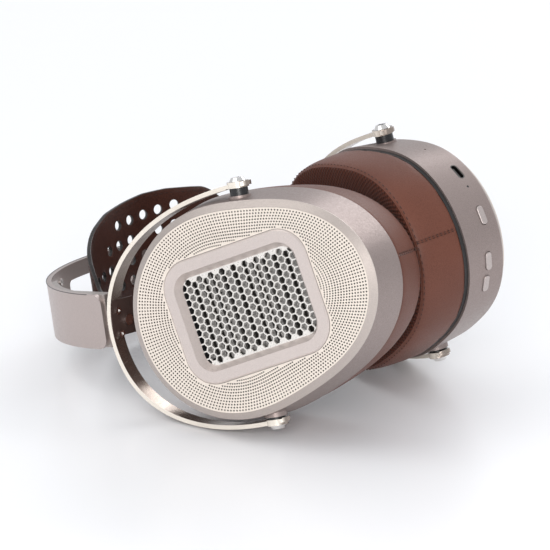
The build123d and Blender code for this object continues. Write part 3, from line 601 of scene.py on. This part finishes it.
def measure_uv(pad, rows):
    """UV coordinates that are lengths in millimetres: round the pad, and along its section."""
    count, depth = len(rows), len(rows[0])
    side_row = 5
    around = path_lengths([line[side_row][:2] for line in rows])
    along = path_lengths(rows[0])
    uv = pad.data.uv_layers.new(name="lengths")
    for polygon in pad.data.polygons:
        last = polygon.vertices[0] // depth == count - 1
        for loop in polygon.loop_indices:
            i, k = divmod(pad.data.loops[loop].vertex_index, depth)
            uv.data[loop].uv = (around[-1] + 1.5 if last and i == 0 else around[i], along[k])


def pad_stitches():
    """The threads of the ring seam and of the cross seam, as pairs of points."""
    stitches = []
    seam_angles = even_angles(ring_stitches, -1.5)
    half = seam_angles[1] * ring_stitch_share
    for a in seam_angles:
        stitches.append([Vector((*egg_point(b, 0.42), pad_base - ring_stitch_depth * pad_thickness(b)))
                         for b in (a - half, a + half)])
    for k in range(cross_stitches):
        deep = cross_first + k * cross_pitch
        for off in (-cross_offset, cross_offset):
            x, y = egg_point(off / chin_radius, 1.95 - 0.0026 * max(0.0, deep - 8) ** 2)
            stitches.append([Vector((x, y, pad_base - deep + end))
                             for end in (cross_half_length, -cross_half_length)])
    return stitches


def add_pad(hand, side):
    """The leather pad in the place of the CAD ear pad, and its stitches."""
    body, matrix = f"{hand}_cup", cup_matrix(side)
    close_to_seam = [i * 0.0045 % (2 * pi) for i in range(-8, 9)]
    rows = [pad_line(a) for a in sorted({*even_angles(230), *close_to_seam})]
    parts = [part for part, line in pad_profile for _ in line]
    count, depth = len(rows), len(parts)
    faces, face_slots = [], []
    for i in range(count):
        here, ahead = i * depth, (i + 1) % count * depth
        for k in range(depth - 1):
            faces.append((here + k, here + k + 1, ahead + k + 1, ahead + k))
            face_slots.append(parts[k + 1])
    pad = mesh_piece(f"{hand}_leather_pad", [p for line in rows for p in line], faces,
                     [pad_leather, pad_weave, pad_inner], body, matrix, face_slots)
    measure_uv(pad, rows)
    smooth = pad.modifiers.new("soft", "SUBSURF")
    smooth.levels = smooth.render_levels = 1
    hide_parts(f"{hand}_ear_pad")
    add_stitches(f"{hand}_pad_stitches", pad_stitches(), pad_thread_radius, pad_thread, body, matrix)


# ---- strap -----------------------------------------------------------------------------------------
strap_radius, strap_centre, strap_sweep, band_offset = 60.5, -76.5, 80.0, -1.3
strap_thickness, punch_radius = 2.0, 2.35
strap_sag = 1.6  # how much flatter the leather lies over the crown
# half the strap's width, by the distance to the side of the crown
strap_half = ((0, 29.8), (13.4, 29.6), (26, 27.6), (36.6, 24.6), (44, 22.2), (49.5, 19.6), (52.4, 16.2),
              (54.2, 11.6), (56.5, 9.5), (62, 9.2))
# the first and last hole of each row, from the rear row to the front one
strap_rows = ((-3, 1), (-3, 2), (-4, 4), (-4, 4), (-4, 4), (-2, 3), (-1, 3))
hole_pitch, hole_row_pitch = 8.95, 9.65
row_shift, row_slope = 1.16, 0.08  # how far each row is set along, how fast a row climbs
hole_margin, edge_trim = 5, 0.2
grid_step, grid_from_hole, grid_from_edge = 2.2, 3.2, 1.2
seam_inset, seam_lift, stitch_length, stitch_pitch = 2.2, 1.05, 2.0, 3.0
strap_thread_radius, strap_edge_round = 0.17, 0.28


def strap_edges(angle):
    """Front and rear edge of the strap at an angle from the crown, positive to the left."""
    sideways = strap_radius * sin(angle)
    half = float(np.interp(abs(sideways), *np.array(strap_half).T))
    fade = cos(pi / 2 * min(1.0, max(0.0, abs(sideways) - 40) / 18)) ** 2
    middle = band_offset + (9.9 + 0.148 * sideways) * fade
    return middle + half, middle - half


def strap_point(s, w, lift=0.0):
    """A point of the strap's surface from its length along the arc and its height."""
    a = s / strap_radius
    radius = strap_radius - strap_sag * max(0.0, cos(a * 90 / 62)) + lift
    return band_point(strap_centre - radius * cos(a), radius * sin(a), w)


def strap_holes():
    """The punched holes that keep clear of the strap's edges: (centre, loop) of each."""
    holes = []
    for j, (first, last) in enumerate(strap_rows, -3):
        for i in range(first, last + 1):
            s = -0.6 + hole_pitch * i + row_shift * j
            w = 0.3 + hole_row_pitch * j + row_slope * hole_pitch * i
            front, rear = strap_edges(s / strap_radius)
            if rear + hole_margin < w < front - hole_margin:
                holes.append(((s, w), hole((s, w), punch_radius, 28)))
    return holes


def strap_grid(centres):
    """Points between the holes, so that the leather can curve."""
    grid = []
    for s in np.arange(-83, 84, grid_step):
        front, rear = strap_edges(s / strap_radius)
        for w in np.arange(-32, 44, grid_step):
            clear = all((s - cs) ** 2 + (w - cw) ** 2 > grid_from_hole ** 2 for cs, cw in centres)
            if rear + grid_from_edge < w < front - grid_from_edge and clear:
                grid.append((s, w))
    return grid


def seam_stitches(limit):
    """The threads beside both edges, on the strap's outside and inside, as pairs of points."""
    pairs = []
    for edge, inset in ((0, -seam_inset), (1, seam_inset)):
        trail = [(strap_radius * a, strap_edges(a)[edge] + inset)
                 for a in np.linspace(-limit * 0.97, limit * 0.97, 600)]
        length = path_lengths(trail)
        across, along = np.array(trail).T
        for start in np.arange(1, length[-1] - stitch_length, stitch_pitch):
            for lift in (-seam_lift, seam_lift):
                pairs.append([strap_point(float(np.interp(at, length, across)),
                                          float(np.interp(at, length, along)), lift)
                              for at in (start, start + stitch_length)])
    return pairs


def add_strap():
    """The punched leather strap in the place of the CAD strap, and its stitches."""
    limit = radians(strap_sweep)
    spots = np.linspace(-limit, limit, 121)
    top = [(strap_radius * a, strap_edges(a)[0] - edge_trim) for a in spots]
    bottom = [(strap_radius * a, strap_edges(a)[1] + edge_trim) for a in spots]
    punched = strap_holes()
    grid = strap_grid([centre for centre, _ in punched])
    flat, faces = sheet_with_holes(bottom + top[::-1], [loop for _, loop in punched], grid)
    solid = [strap_point(s, w, 0.05 * sin(s * 0.35) + 0.06 * sin(w * 0.4 + s * 0.1)) for s, w in flat]
    strap = mesh_piece("leather_strap", solid, faces, [strap_face, strap_paint], "headband")
    thicken(strap, strap_thickness, 0.0, rim=1)
    bevel = strap.modifiers.new("edge", "BEVEL")
    bevel.width = strap_edge_round * MM
    bevel.segments = 2
    bevel.limit_method = "ANGLE"
    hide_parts("strap")
    add_stitches("strap_stitches", seam_stitches(limit), strap_thread_radius, strap_thread, "headband",
                 sides=5)


# ---- arch ------------------------------------------------------------------------------------------
arch_centre, arch_radius, arch_half_width, line_radius = -92.0, 71.25, 13.02, 0.2


def add_band_line():
    """The dark line along the arch's outer edge: painted shade of a thin groove there."""
    front = band_offset + arch_half_width
    spots = [radians(a) for a in np.linspace(-88, 88, 97)]
    path = [band_point(arch_centre - arch_radius * cos(a), arch_radius * sin(a), front) for a in spots]
    points, sides = [], 6
    for i, middle in enumerate(path):
        along = (path[min(i + 1, len(path) - 1)] - path[max(i - 1, 0)]).normalized()
        third = along.cross(band_front)
        for k in range(sides):
            b = 2 * pi * k / sides
            points.append(middle + (band_front * cos(b) + third * sin(b)) * line_radius)
    # a dark tube in the place of the groove's shade
    groove_shade = moulded("edge line", (0.05, 0.048, 0.047), 0.4)
    mesh_piece("band_edge_line", points, ring_faces(0, sides, len(path)), [groove_shade], "headband")


add_band_line()
for hand, side in hands.items():
    add_grille(hand, side)
    add_pad(hand, side)
add_strap()


# ---- camera, light and table ---------------------------------------------------------------------
AZIMUTH, ELEVATION, DISTANCE, LENS = 0.72, 0.321, 2.140, 302.4
SHIFT_X, SHIFT_Y = -0.11455, -0.00164  # as shares of the frame


def add_camera():
    """The camera, which looks towards the cups' pivots."""
    back = Vector((sin(AZIMUTH) * cos(ELEVATION), -cos(AZIMUTH) * cos(ELEVATION), sin(ELEVATION)))
    across = Vector((cos(AZIMUTH), sin(AZIMUTH), 0))
    up = back.cross(across)
    data = bpy.data.cameras.new("camera")
    data.sensor_width = 36.0
    data.lens = LENS
    data.clip_end = 20.0
    data.shift_x, data.shift_y = SHIFT_X, SHIFT_Y
    camera = bpy.data.objects.new("camera", data)
    turn = Matrix((across, up, back)).transposed().to_4x4()
    camera.matrix_world = Matrix.Translation(pivot_centre * MM + back * DISTANCE) @ turn
    bpy.context.collection.objects.link(camera)
    bpy.context.scene.camera = camera


def add_light(name, place, aim, size, power, tint):
    """A soft rectangular lamp, in metres and watts."""
    data = bpy.data.lights.new(name, "AREA")
    data.shape = "RECTANGLE"
    data.size, data.size_y = size
    data.energy = power
    data.color = tint
    lamp = bpy.data.objects.new(name, data)
    lamp.location = place
    lamp.rotation_euler = (Vector(aim) - Vector(place)).to_track_quat("-Z", "Y").to_euler()
    bpy.context.collection.objects.link(lamp)


add_camera()
bpy.ops.mesh.primitive_plane_add(size=14)
floor = bpy.context.active_object
floor.name = "floor"
floor.data.materials.append(table_top("table top"))
world = bpy.data.worlds.new("studio")
bpy.context.scene.world = world
world.use_nodes = True
world.node_tree.nodes["Background"].inputs["Color"].default_value = (0.95, 0.97, 1.0, 1)
world.node_tree.nodes["Background"].inputs["Strength"].default_value = 0.75
add_light("key", (-0.6, -0.8, 1.6), (0.0, 0.0, 0.05), (1.2, 1.2), 6, (1.0, 0.99, 0.97))
add_light("front", (1.0, -1.3, 0.62), (0.0, 0.0, 0.05), (1.0, 0.7), 16, (1.0, 0.98, 0.965))
add_light("rear", (-0.4, 2.6, 1.6), (-0.2, 1.6, 0.0), (2.4, 1.2), 32, (0.99, 0.99, 1.0))
bpy.context.scene.view_settings.view_transform = "Standard"
